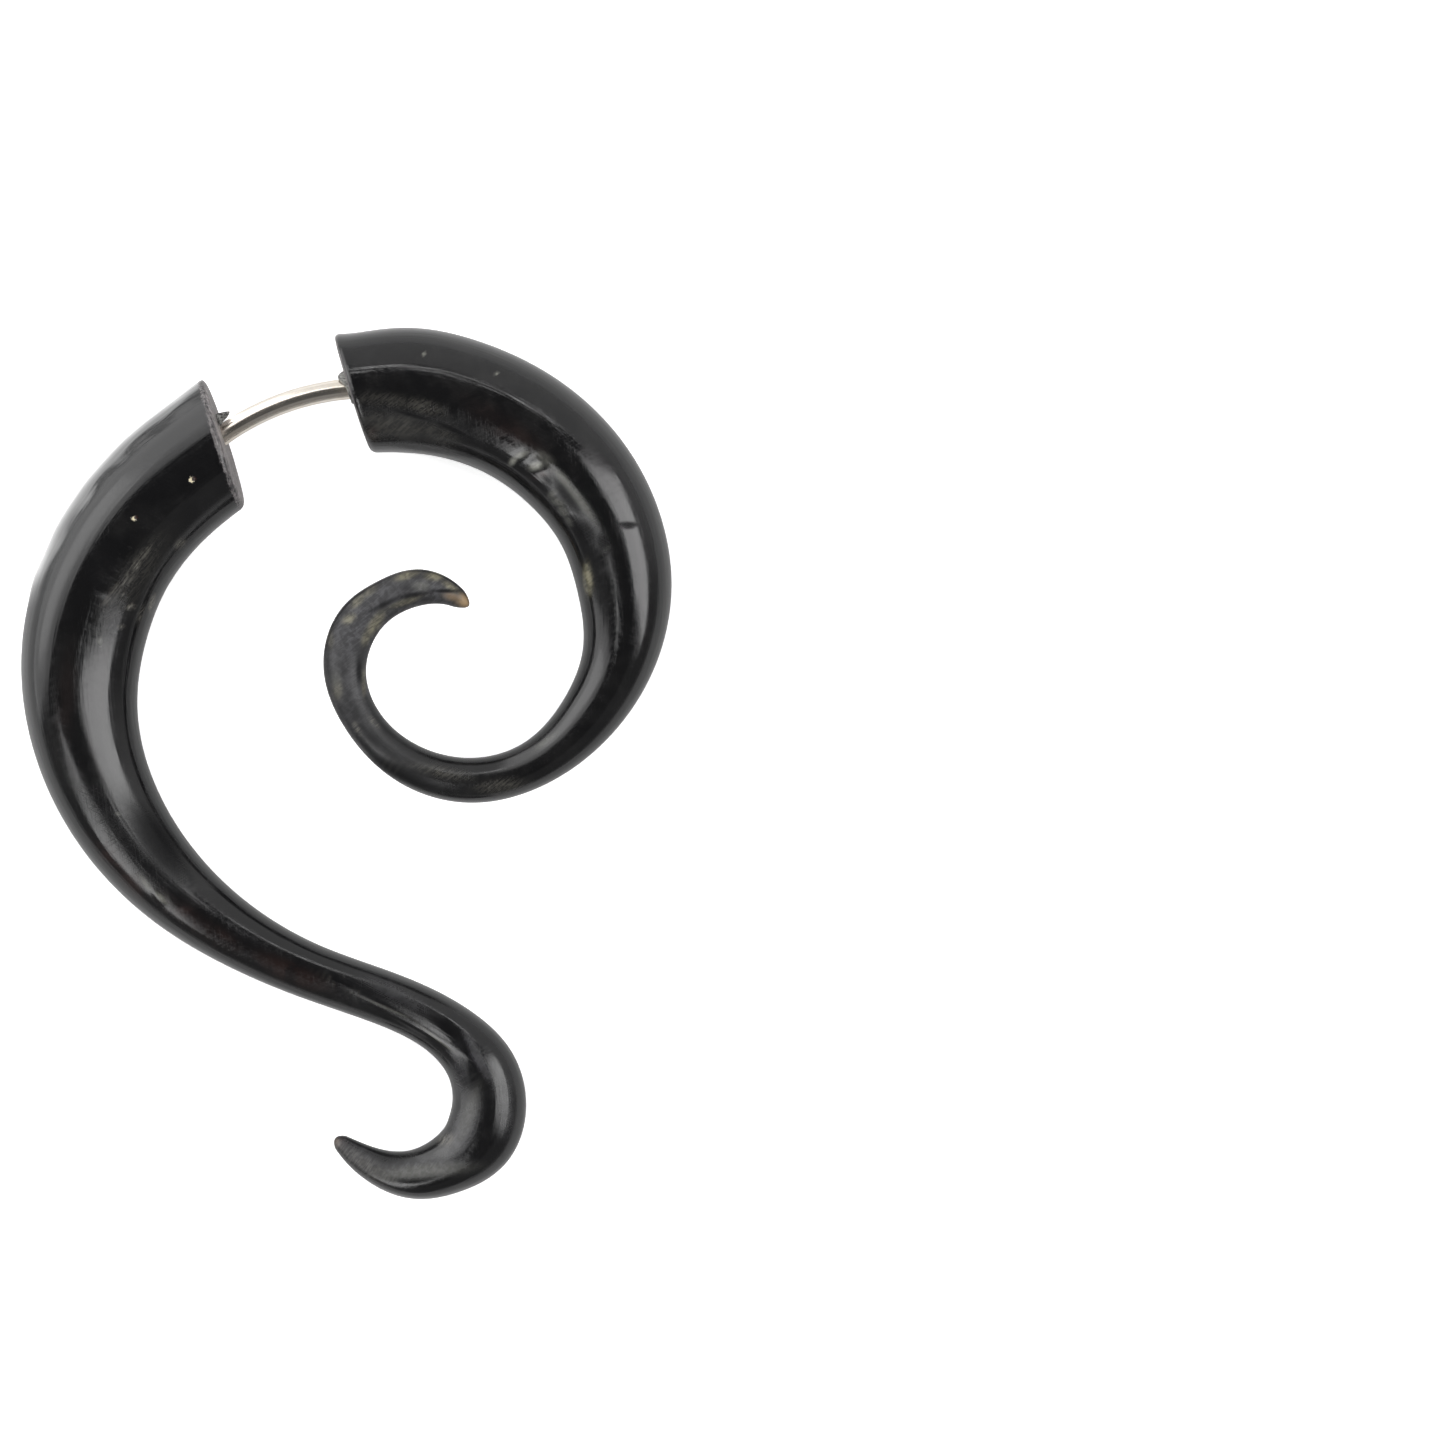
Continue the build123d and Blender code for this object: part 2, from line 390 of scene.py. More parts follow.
def handWobble(horn, along, turn):
    # uneven hand carving: half plus the mean of a few slow waves along and around the horn
    dice = np.random.default_rng(horn["wobbleSeed"])
    total = np.zeros(np.broadcast(along, turn).shape)
    for wave in range(carving["waves"]):
        rounds = wave % carving["rounds"] + 1
        pitch = dice.uniform(*carving["pitch"])
        phase = dice.uniform(0, 2 * np.pi)
        total += np.sin(pitch * along + rounds * turn + phase) / (1 + carving["fading"] * wave)
    return 0.5 + total / carving["waves"]


def hornPoint(horn, spline, along, turn, shrink=1.0):
    # the horn's side: the centreline at this length, plus the half width times cosine of turn
    # to the side and the half depth times sine of turn upwards. The upper half's ridge is
    # moved sideways by its crest share and flattened by its flat share. Also returns the same
    # spot on the horn made straight: its length, sideways and upwards places.
    value, rate = splineAt(*spline, along)
    middle, wide, deep, crest, flat = value[..., :3], *np.moveaxis(value[..., 3:], -1, 0)
    ahead = unit(rate[..., :3])
    c, h = np.cos(turn), np.sin(turn)
    upper = np.clip(h, 0, 1)
    sideways = c + crest * upper**3
    upwards = h * (1 + flat * upper * (1 - h**2))
    keep = shrink * (1 - horn["wobble"] * handWobble(horn, along, turn))
    sideways = sideways * keep * wide * horn["width"] / 2
    upwards = upwards * keep * deep * horn["depth"] / 2
    place = middle + leftOf(ahead) * sideways[..., None] + straightUp * upwards[..., None]
    straight = np.stack(np.broadcast_arrays(along, sideways, upwards), axis=-1)
    return place, straight


def cutLine(horn, spline, turn):
    # how far along each line of the side the oblique cut lies, by halving the span around it
    low = np.full_like(turn, -horn["stock"])
    high = np.full_like(turn, 2 * horn["stock"])
    for _ in range(hornGrid["halvings"]):
        middle = (low + high) / 2
        place = hornPoint(horn, spline, middle, turn)[0]
        outside = (place - faceMiddle(horn)) @ faceDirection(horn) > 0
        low, high = np.where(outside, middle, low), np.where(outside, high, middle)
    return (low + high) / 2


def hornGridPoints(horn, outOfHole):
    # one closed surface in rows: hole floor, hole wall, cut face, rounded rim, side, round tip.
    # Returns the points by row and column, the same points on the horn made straight, and the
    # sawn look: most on the cut face, the horn's own share at its rim, and nothing past the fray.
    spline = hornSpline(horn)
    spread = np.linspace(-np.pi / 2, 1.5 * np.pi, hornGrid["around"], endpoint=False)
    turn = spread + hornGrid["crowding"] * np.cos(spread)
    middle, faceNormal = faceMiddle(horn), faceDirection(horn)
    cut = cutLine(horn, spline, turn)
    rim, rimStraight = hornPoint(horn, spline, cut, turn)
    inwards = unit(hornPoint(horn, spline, cut + hornGrid["nudge"], turn)[0] - rim)
    toMiddle = unit(middle - rim)

    # the rim is a quarter circle between the side and the cut face
    rounding = horn["rimRound"]
    bend = np.linspace(np.pi / 2, 0, hornGrid["rimRows"])[:, None, None]
    corner = rim + rounding * (inwards + toMiddle)
    rimRows = corner - rounding * (np.cos(bend) * toMiddle + np.sin(bend) * inwards)

    # the hole is a circle square to the post, and its mouth lies in the cut face
    quarter = hornGrid["around"] // 4
    sideOfPost = np.cross(outOfHole, straightUp)
    sense = np.dot(np.cross(sideOfPost, straightUp), np.cross(toMiddle[0], toMiddle[quarter]))
    across = -np.sign(sense) * np.cos(turn)[:, None] * sideOfPost
    upright = np.sin(turn)[:, None] * straightUp
    mouth = postEntry(horn) + horn["holeRadius"] * (across + upright)
    lift = ((mouth - middle) @ faceNormal) / (outOfHole @ faceNormal)
    mouth = mouth - lift[:, None] * outOfHole
    share = np.linspace(0, 1, hornGrid["faceRows"] + 2)[1:-1, None, None]
    faceRows = mouth + (rimRows[0] - mouth) * share
    deepRows = np.linspace(1, 0, hornGrid["holeRows"])[:, None, None]
    floor = mouth - outOfHole * (horn["holeDepth"] - lift[:, None])
    holeRows = mouth + (floor - mouth) * deepRows
    holeFloor = np.broadcast_to(floor.mean(axis=0), floor.shape)[None]

    # the side runs from the rim to the tip, which closes as a half round
    length = spline[0][-1]
    start = cut + rounding
    tip = horn["tipRound"]
    steps = np.linspace(0, 1, hornGrid["along"])[1:, None]
    sideAlong = start + (length - tip - start) * steps
    sideTurn = np.broadcast_to(turn, sideAlong.shape)
    sideRows, sideStraight = hornPoint(horn, spline, sideAlong, sideTurn)
    close = np.linspace(0, np.pi / 2, hornGrid["tipRows"] + 1)[1:, None]
    tipAlong = np.broadcast_to(length - tip + tip * np.sin(close), (len(close), len(turn)))
    tipTurn = np.broadcast_to(turn, tipAlong.shape)
    tipRows, tipStraight = hornPoint(horn, spline, tipAlong, tipTurn, np.cos(close))

    points = np.concatenate([holeFloor, holeRows, faceRows, rimRows, sideRows, tipRows])
    before = len(points) - len(sideRows) - len(tipRows)
    straight = np.concatenate([np.tile(rimStraight, (before, 1, 1)), sideStraight, tipStraight])
    sawn = np.zeros(points.shape[:2])
    sawn[:before] = horn["rimSawn"]
    sawn[: before - hornGrid["rimRows"] // 2] = hornGrid["faceSawn"]
    fray = np.clip(1 - (sideAlong - cut) / horn["fray"], 0, 1)
    sawn[before : before + len(sideRows)] = horn["rimSawn"] * fray
    return points, straight, sawn


def tableLean():
    # the plane under the two thick parts and the bend of the tail: its sideways, forwards and
    # upwards directions as rows
    rests = []
    for horn in (hookHorn, spiralHorn):
        for i in horn["restRows"]:
            r = horn["rows"][i]
            middle = faceMiddle(horn) + np.array([r.across * horn["reach"], -r.down * horn["drop"], 0])
            rests.append(middle - straightUp * r.deep * horn["depth"] / 2)
    up = unit(np.cross(rests[1] - rests[0], rests[2] - rests[0]))
    sideways = unit(np.array([up[2], 0, -up[0]]))
    return np.array([sideways, np.cross(up, sideways), up])


def postPath():
    # straight in the hook, an even arc across the gap, straight in the spiral
    start, end = postEntry(hookHorn), postEntry(spiralHorn)
    chord = end - start
    heading = np.degrees(np.arctan2(chord[1], chord[0]))
    out = direction(heading + steelPost["turn"] / 2)
    into = direction(heading - steelPost["turn"] / 2)
    return start, end, out, into


def rowPlace(points):
    # flat drawing to the frame: leaned onto the table, then moved so that both horns together
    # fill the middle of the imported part's box
    return points @ lean.T + shift


def gridNormals(points):
    # the cross product of the steps along and around the grid, turned to point outwards
    along = np.gradient(points, axis=0)
    around = np.roll(points, -1, axis=1) - np.roll(points, 1, axis=1)
    normals = np.cross(along, around)
    normals /= np.linalg.norm(normals, axis=-1, keepdims=True) + 1e-15  # never nothing
    outwards = points - points.mean(axis=1, keepdims=True)
    half = len(points) // 2
    return normals * np.sign((normals[half] * outwards[half]).sum())


def seenFrom(points):
    # the pixel of the photograph at which the camera sees each point
    depth = photo["middle"].z + photo["distance"] - points[..., 2]
    scale = photo["pixelsPerMetre"] * photo["distance"] / depth
    across = photo["width"] / 2 + (points[..., 0] - photo["middle"].x) * scale
    down = photo["height"] / 2 - (points[..., 1] - photo["middle"].y) * scale
    return across, down


def markShape(mark, across, down):
    # an oval hill with a flat top: e to the minus cube of the distance from its middle, counted
    # in half lengths along it and half widths across it
    turn = np.radians(mark.heading)
    right, up = across - mark.across, mark.down - down
    u = (right * np.cos(turn) + up * np.sin(turn)) / mark.long
    v = (up * np.cos(turn) - right * np.sin(turn)) / mark.short
    return np.exp(-((u**2 + v**2) ** 1.5))


def facingUp(normals):
    # 1 where the camera can see the side, 0 underneath, by how far up the normal points
    return smoothStep(-0.1, 0.3, normals[..., 2])


def flareSide(horn, points):
    # each mark pushes the side out level with the table: along the level part of the normal,
    # less what of it points the way that the cut face looks
    level = gridNormals(points) * np.array([1.0, 1.0, 0.0])
    ahead = faceDirection(horn)
    level -= np.maximum(level @ ahead, 0)[..., None] * ahead
    across, down = seenFrom(points)
    push = np.zeros(across.shape)
    for mark in horn["flare"]:
        push += mark.amount * markShape(mark, across, down)
    return points + level * push[..., None]


def carveRelief(horn, points):
    # each mark lifts or sinks the upper side along its normals
    normals = gridNormals(points)
    across, down = seenFrom(points)
    height = sum(mark.amount * markShape(mark, across, down) for mark in horn["relief"])
    return points + normals * (height * facingUp(normals))[..., None]


def paintedMask(spots, points, normals):
    # the strongest of the marks at each point, on the side that the camera sees
    across, down = seenFrom(points)
    mask = np.zeros(across.shape)
    for mark in spots:
        mask = np.maximum(mask, mark.amount * markShape(mark, across, down))
    return mask * facingUp(normals)


def quadsBetween(lower, upper):
    # a quad between each two neighbours of the lower row and the two over them in the upper row;
    # the rows are vertex numbers and close on themselves
    quads = [lower, upper, np.roll(upper, -1, axis=-1), np.roll(lower, -1, axis=-1)]
    return np.stack(quads, axis=-1).reshape(-1, 4)


def closedTube(name, points):
    # quads from row to row; the first and last row shrink to one vertex each, with a fan to it
    rows, columns = points.shape[:2]
    inner = points[1:-1].reshape(-1, 3)
    vertices = np.vstack([points[0].mean(axis=0)[None], inner, points[-1].mean(axis=0)[None]])
    numbers = 1 + np.arange((rows - 2) * columns).reshape(-1, columns)
    first, last = numbers[0], numbers[-1]
    low = np.stack([0 * first, first, np.roll(first, -1)], axis=-1)
    high = np.stack([0 * last + len(vertices) - 1, np.roll(last, -1), last], axis=-1)
    return meshPiece(name, vertices, [low, quadsBetween(numbers[:-1], numbers[1:]), high])


def closedRing(name, points):
    # quads from row to row, and from the last row to the first
    numbers = np.arange(points[..., 0].size).reshape(points.shape[:2])
    quads = quadsBetween(numbers, np.roll(numbers, -1, axis=0))
    return meshPiece(name, points.reshape(-1, 3), [quads])


def meshPiece(name, vertices, blocks):
    # a smooth piece whose faces point outwards: where the volume comes out below nothing, all
    # the faces are turned round
    triangles = [b[:, [0, n, n + 1]] for b in blocks for n in range(1, b.shape[1] - 1)]
    a, b, c = (vertices[np.vstack(triangles)[:, n]] for n in range(3))
    inside = np.einsum("ij,ij->i", a, np.cross(b, c)).sum() > 0
    step = 1 if inside else -1
    faces = [face[::step] for block in blocks for face in block.tolist()]
    mesh = bpy.data.meshes.new(name)
    mesh.from_pydata(vertices.tolist(), [], faces)
    mesh.polygons.foreach_set("use_smooth", np.ones(len(faces), bool))
    mesh.update()
    piece = bpy.data.objects.new(name, mesh)
    bpy.context.collection.objects.link(piece)
    return piece


def pointValues(piece, name, grid):
    # a number or a vector for each vertex of a closed tube, from the grid's rows and columns
    size = grid.shape[2] if grid.ndim == 3 else 1
    flat = grid.reshape(grid.shape[0], grid.shape[1], size)
    ends = [flat[0].mean(axis=0)[None], flat[-1].mean(axis=0)[None]]
    values = np.concatenate([ends[0], flat[1:-1].reshape(-1, size), ends[1]])
    kind, field = ("FLOAT_VECTOR", "vector") if size == 3 else ("FLOAT", "value")
    attribute = piece.data.attributes.new(name, kind, "POINT")
    attribute.data.foreach_set(field, values.astype(np.float32).ravel())


# The steel post

steelPost = {
    "diameter": 0.0013,
    "turn": 31.0,  # degrees that the wire bends across the gap
    "engagement": 0.0050,  # how deep it stands in each horn piece
    "lead": 0.0002,  # the bevel at its ends
    "around": 64,
    "rows": 200,
    "lines": (0.0080, 0.00005),  # length and width of the drawn lines
    "film": (0.0016, 2.0),  # size and detail of the film's clouds
    "bright": (0.94, 0.875, 0.79, 1),
    "dulled": (0.88, 0.80, 0.70, 1),
    "roughness": (0.18, 0.24),
}

outOfHook, intoSpiral = postPath()[2:]
hookDrawn = hornGridPoints(hookHorn, outOfHook)
spiralDrawn = hornGridPoints(spiralHorn, -intoSpiral)
lean = tableLean()
both = np.concatenate([(drawn[0] @ lean.T).reshape(-1, 3) for drawn in (hookDrawn, spiralDrawn)])
boxMiddle = np.mean([list(corner) for corner in cadBox], axis=0)
shift = boxMiddle - (both.min(axis=0) + both.max(axis=0)) / 2


def postGridPoints():
    # a circle carried along the post's line; at both ends it shrinks over the lead
    start, end, out, into = postPath()
    chord = end - start
    halfTurn = np.radians(steelPost["turn"] / 2)
    radius = np.linalg.norm(chord) / 2 / np.sin(halfTurn)
    engagement, lead = steelPost["engagement"], steelPost["lead"]
    arc = 2 * radius * halfTurn
    total = 2 * engagement + arc
    inner = np.linspace(lead, total - lead, steelPost["rows"])
    along = np.concatenate([[0, 0], inner, [total, total]])
    onArc = np.clip(along - engagement, 0, arc)
    turned = np.arctan2(chord[1], chord[0]) + (halfTurn - onArc / radius)
    side = leftOf(np.stack([np.cos(turned), np.sin(turned), 0 * turned], axis=-1))
    middle = start + (side - leftOf(out)) * radius
    middle += out * np.minimum(along - engagement, 0)[:, None]
    middle += into * np.maximum(along - engagement - arc, 0)[:, None]
    size = np.full(len(along), steelPost["diameter"] / 2)
    size[[0, -1]] = 0
    size[[1, -2]] -= lead
    turn = fullTurn(steelPost["around"])[:, None]
    ring = np.cos(turn) * side[:, None] + np.sin(turn) * straightUp
    sideways, upwards = size[:, None] * np.cos(turn.T), size[:, None] * np.sin(turn.T)
    straight = np.stack(np.broadcast_arrays(along[:, None], sideways, upwards), axis=-1)
    return middle[:, None] + size[:, None, None] * ring, straight


# Glue that squeezed out: a bead round the post at the spiral's face, and a dried spike that
# stands on the hook's face

glue = {
    "beadAround": 96,
    "beadSection": 24,
    "beadInner": 0.00058,  # just under the post's skin
    "beadReach": 0.00098,
    "beadHeight": 0.00024,
    "reachWaver": 0.08,
    "heightWaver": 0.25,
    "lumpTurn": 18.0,  # degrees from the outward side towards the top
    "lumpSpread": 34.0,
    "lumpReach": 0.00032,
    "lumpHeight": 0.00036,
    "beadSeed": 5,
    "spikeLength": 0.00108,
    "spikeWidth": 0.00035,
    "spikeOut": 0.00088,  # from the post's middle outwards along the face
    "spikeUp": 0.00090,
    "spikeHeading": 36.0,
    "spikeSunk": 0.0001,  # how deep its foot stands in the face
    "spikeRise": 0.00018,  # how far its point bends up
    "spikeTaper": 0.7,
    "spikeFoot": 0.08,  # share of its length over which the foot rounds
    "spikeFlat": (1.2, 0.8),  # its section sideways and upwards
    "spikeUneven": 0.18,
    "spikeAround": 20,
    "spikeRows": 24,
    "crumbs": (0.00016, 4.0),  # size and detail of the crumbs in it
    "dark": (0.030, 0.029, 0.028, 1),
    "dust": (0.30, 0.30, 0.28, 1),
    "roughness": (0.22, 0.55),
}


def gluePoints():
    # an oval section carried round the post. Its outer end reaches further and its top stands
    # higher around the lump, a bell in the turn, and both waver.
    dice = np.random.default_rng(glue["beadSeed"])
    turn = fullTurn(glue["beadAround"])
    away = np.degrees(np.abs(np.angle(np.exp(1j * (turn - np.radians(glue["lumpTurn"]))))))
    lump = np.exp(-((away / glue["lumpSpread"]) ** 2))
    waver = sum(np.sin(n * turn + dice.uniform(0, 2 * np.pi)) for n in (2, 3, 5)) / 3
    reach = glue["beadReach"] * (1 + glue["reachWaver"] * waver) + glue["lumpReach"] * lump
    height = glue["beadHeight"] * (1 + glue["heightWaver"] * waver) + glue["lumpHeight"] * lump
    section = fullTurn(glue["beadSection"])
    half = (reach - glue["beadInner"]) / 2
    outwards = glue["beadInner"] + half[:, None] * (1 + np.cos(section))
    proud = height[:, None] * np.sin(section)
    outward = direction(gap["heading"] + 90)
    ring = np.cos(turn)[:, None] * outward + np.sin(turn)[:, None] * straightUp
    place = postEntry(spiralHorn) + outwards[..., None] * ring[:, None]
    return place + proud[..., None] * faceDirection(spiralHorn)


def spikePoints():
    # circles that shrink to a point along a line that bends upwards, with a rounded foot inside
    # the horn's face
    along = np.linspace(0, 1, glue["spikeRows"])
    foot = postEntry(hookHorn) + direction(gap["heading"] + 90) * glue["spikeOut"]
    foot = foot + straightUp * glue["spikeUp"] - faceDirection(hookHorn) * glue["spikeSunk"]
    ahead = direction(glue["spikeHeading"])
    line = foot + ahead * (along * glue["spikeLength"])[:, None]
    line = line + straightUp * glue["spikeRise"] * (along**2)[:, None]
    rounded = np.minimum(along / glue["spikeFoot"], 1) ** 0.5
    size = glue["spikeWidth"] * (1 - along) ** glue["spikeTaper"] * rounded
    turn = fullTurn(glue["spikeAround"])[:, None]
    wide, high = glue["spikeFlat"]
    ring = np.cos(turn) * leftOf(ahead) * wide + np.sin(turn) * straightUp * high
    uneven = 1 + glue["spikeUneven"] * np.sin(3 * turn + 4 * along[:, None, None])
    return line[:, None] + size[:, None, None] * uneven * ring


postPoints, postStraight = postGridPoints()
postPiece = closedTube("post_wire", rowPlace(postPoints))
pointValues(postPiece, "straight", postStraight)
beadPiece = closedRing("glue_bead", rowPlace(gluePoints()))
spikePiece = closedTube("glue_spike", rowPlace(spikePoints()))

# The two horn pieces

# painted shade: a dark band on the outer side of the grey parts, where the normal leans this far from
# upright
outerShadeLine = {  # a dark line along the outer side of the grey parts
    "upwards": 0.46,  # how far up the normal points there
    "spread": 0.11,
}


def hornPiece(name, horn, points, straight, sawn):
    # the carved mesh, with what its finish needs to know at each vertex
    points = carveRelief(horn, flareSide(horn, rowPlace(points)))
    normals = gridNormals(points)
    piece = closedTube(name, points)
    pointValues(piece, "straight", straight)
    pointValues(piece, "sawn", sawn)
    for kind, spots in horn["paint"].items():
        pointValues(piece, kind, paintedMask(spots, points, normals))
    # painted shade: the dark band on the outer side, by how far up the normal points
    away = (normals[..., 2] - outerShadeLine["upwards"]) / outerShadeLine["spread"]
    pointValues(piece, "outerShadeLine", np.exp(-(away**2)) * (straight[..., 1] > 0))
    return piece, points, normals


hookPiece, *hookSurface = hornPiece("hook_horn", hookHorn, *hookDrawn)
spiralPiece, *spiralSurface = hornPiece("spiral_horn", spiralHorn, *spiralDrawn)
print("pieces made", [len(piece.data.vertices) for piece in (hookPiece, spiralPiece, postPiece)])

# Finishes


def setInputs(node, inputs):
    # each input is joined to a socket or given a value
    for key, value in inputs.items():
        if isinstance(value, bpy.types.NodeSocket):
            node.id_data.links.new(value, node.inputs[key])
        else:
            node.inputs[key].default_value = value


def addNode(kind, inputs, tree=None, **fixed):
    # a node with its inputs and fixed settings, in the tree of the sockets that are its inputs
    sockets = [value for value in inputs.values() if isinstance(value, bpy.types.NodeSocket)]
    tree = sockets[0].id_data if sockets else tree
    node = tree.nodes.new("ShaderNode" + kind)
    for key, value in fixed.items():
        setattr(node, key, value)
    setInputs(node, inputs)
    return node


def calculate(operation, first, second=0.0, clamp=False):
    node = addNode("Math", {0: first, 1: second}, operation=operation, use_clamp=clamp)
    return node.outputs[0]


def times(first, second):
    return calculate("MULTIPLY", first, second)


def plus(first, second):
    return calculate("ADD", first, second)


def mix(first, second, share):
    # this share of the first and the rest of the second
    return plus(times(first, share), times(second, 1 - share))


def addShares(total, *shares):
    # the total plus each value times its amount
    for value, amount in shares:
        total = plus(total, times(value, amount))
    return total


def remap(value, low, high, toLow=0.0, toHigh=1.0, smooth=True):
    # low and high become toLow and toHigh, and nothing goes beyond them
    kind = "SMOOTHSTEP" if smooth else "LINEAR"
    inputs = {"Value": value, "From Min": low, "From Max": high, "To Min": toLow, "To Max": toHigh}
    return addNode("MapRange", inputs, interpolation_type=kind).outputs["Result"]


def blendColours(share, under, over):
    inputs = {0: share, 6: under, 7: over}
    return addNode("Mix", inputs, data_type="RGBA").outputs[2]


def bumped(height, strength, distance):
    inputs = {"Height": height, "Strength": strength, "Distance": distance}
    return addNode("Bump", inputs).outputs[0]


def readAttribute(tree, name, output="Fac"):
    return addNode("Attribute", {}, tree, attribute_name=name).outputs[output]


def newMaterial(name):
    material = bpy.data.materials.new(name)
    material.use_nodes = True
    return material, material.node_tree, material.node_tree.nodes["Principled BSDF"]


def newGroup(name, vectors, numbers, output):
    # a shader node group that makes one number out of these vectors and numbers
    tree = bpy.data.node_groups.new(name, "ShaderNodeTree")
    for title in vectors + numbers:
        kind = "NodeSocketVector" if title in vectors else "NodeSocketFloat"
        tree.interface.new_socket(name=title, in_out="INPUT", socket_type=kind)
    tree.interface.new_socket(name=output, in_out="OUTPUT", socket_type="NodeSocketFloat")
    return tree.nodes.new("NodeGroupInput").outputs, tree.nodes.new("NodeGroupOutput")


def useGroup(group, **inputs):
    return addNode("Group", inputs, node_tree=group).outputs[0]


def fibreGroup():
    # streaks that run one way: noise stretched along a heading in the table's plane
    given, result = newGroup("hornFibres", ["Vector"], ["Heading", "Length", "Width"], "Streaks")
    inputs = {"Vector": given["Vector"], "Angle": times(given["Heading"], -np.pi / 180)}
    turned = addNode("VectorRotate", inputs, rotation_type="Z_AXIS").outputs[0]
    size = {"X": given["Length"], "Y": given["Width"], "Z": given["Width"]}
    size = addNode("CombineXYZ", size).outputs[0]
    scaled = addNode("VectorMath", {0: turned, 1: size}, operation="DIVIDE").outputs[0]
    inputs = {"Vector": scaled, "Scale": 1.0, "Detail": 3.0, "Roughness": 0.6, "Distortion": 0.25}
    noise = addNode("TexNoise", inputs).outputs[0]
    setInputs(result, {0: remap(noise, 0.40, 0.66)})
    return result.id_data


def cloudGroup():
    # soft uneven patches of a given size
    given, result = newGroup("hornClouds", ["Vector"], ["Size", "Detail"], "Cloud")
    scale = calculate("DIVIDE", 1.0, given["Size"])
    inputs = {"Vector": given["Vector"], "Scale": scale, "Detail": given["Detail"], "Roughness": 0.6}
    noise = addNode("TexNoise", inputs | {"Distortion": 0.6}).outputs[0]
    setInputs(result, {0: remap(noise, 0.34, 0.68)})
    return result.id_data


def scuffGroup(fibres):
    # hairline scratches that cross each other in three headings, as from polishing by hand
    given, result = newGroup("handScuffs", ["Vector"], ["Length", "Width"], "Scuffs")
    shared = {key: given[key] for key in ("Vector", "Length", "Width")}
    total = 0.0
    for heading in (28.0, 95.0, 152.0):
        hairline = calculate("POWER", useGroup(fibres, Heading=heading, **shared), 3.0)
        total = calculate("MAXIMUM", total, hairline)
    setInputs(result, {0: total})
    return result.id_data


pitGrain = 9000.0  # of the unevenness of a pit's edge, per metre


def pitGroup():
    # a pit with an uneven edge: how much of it a point is in, from its distance to the pit's place
    given, result = newGroup("smallPit", ["Vector", "Place"], ["Radius"], "Pit")
    away = addNode("VectorMath", {0: given["Vector"], 1: given["Place"]}, operation="DISTANCE")
    noise = addNode("TexNoise", {"Vector": given["Vector"], "Scale": pitGrain}).outputs[0]
    share = calculate("DIVIDE", away.outputs["Value"], given["Radius"])
    share = times(share, remap(noise, 0.3, 0.7, 0.7, 1.3, smooth=False))
    setInputs(result, {0: remap(share, 0.6, 1.1, 1.0, 0.0)})
    return result.id_data


fibreTree, cloudTree, pitTree = fibreGroup(), cloudGroup(), pitGroup()
scuffTree = scuffGroup(fibreTree)


def cloudsAt(place, size, detail):
    return useGroup(cloudTree, Vector=place, Size=size, Detail=detail)


def streaksAt(place, heading, length, width):
    return useGroup(fibreTree, Vector=place, Heading=heading, Length=length, Width=width)


hornColours = {
    "black": (0.0054, 0.0054, 0.0058, 1),
    "smoke": (0.0100, 0.0098, 0.0100, 1),  # the slightly paler clouds in polished black horn
    # on the hook's tail this grey is also laid on as a painted highlight
    "matte": (0.068, 0.067, 0.072, 1),  # grey horn left unpolished
    "brown": (0.024, 0.0125, 0.0105, 1),
    "fibre": (0.15, 0.142, 0.122, 1),
    # pale wear, which also serves as the colour of painted highlights
    "wearAndHighlights": (0.24, 0.24, 0.21, 1),
    "olive": (0.22, 0.205, 0.140, 1),
    "amber": (0.34, 0.235, 0.13, 1),
    "cream": (0.62, 0.55, 0.38, 1),
    "sawn": (0.050, 0.046, 0.047, 1),
    "sawnPale": (0.40, 0.37, 0.368, 1),
}

hornClouds = {  # the size of a cloud in metres, and its detail
    "clouds": (0.0016, 4.0),
    "wide": (0.0060, 3.0),
    "mottle": (0.00055, 4.0),
    "specks": (0.00026, 3.0),
    "crumbs": (0.00028, 4.0),
}

hornStreaks = {  # the length and width of a streak in metres
    "hatch": (0.0008, 0.00008),
    "flats": (0.014, 0.0010),
    "scuffs": (0.0024, 0.00007),
    "sawing": (0.0016, 0.00013),
}

hornCover = {  # the pattern that breaks up each colour, the pattern's range, and the least cover
    "brown": ("clouds", 0.1, 0.9, 0.30),
    "matte": ("cover", 0.1, 0.9, 0.35),
    "fibre": ("grain", 0.05, 0.75, 0.15),
    "wearAndHighlights": ("specks", 0.0, 0.9, 0.70),
    "olive": ("cover", 0.0, 0.9, 0.30),
    "amber": ("clouds", 0.0, 0.9, 0.55),
}

hornGloss = {
    "polished": (0.080, 0.130),  # the roughness of polished horn, between its clouds and in them
    "sheen": 0.465,  # the specular level, and what the darkest marks lower it to
    "darkSheen": 0.046,
    "matteSheen": 0.75,  # what is left of it where the horn is unpolished
    "refraction": 1.54,
    "bump": 0.000006,  # metres
}

ringPitch = 15000.0  # of the carving rings, in radians for each metre along the horn


def highestAt(spot, points, normals):
    # the point of the upper side that the camera sees nearest to a pixel
    across, down = seenFrom(points)
    away = np.hypot(across - spot.across, down - spot.down) + 100 * (normals[..., 2] < 0.1)
    return points.reshape(-1, 3)[away.argmin()]


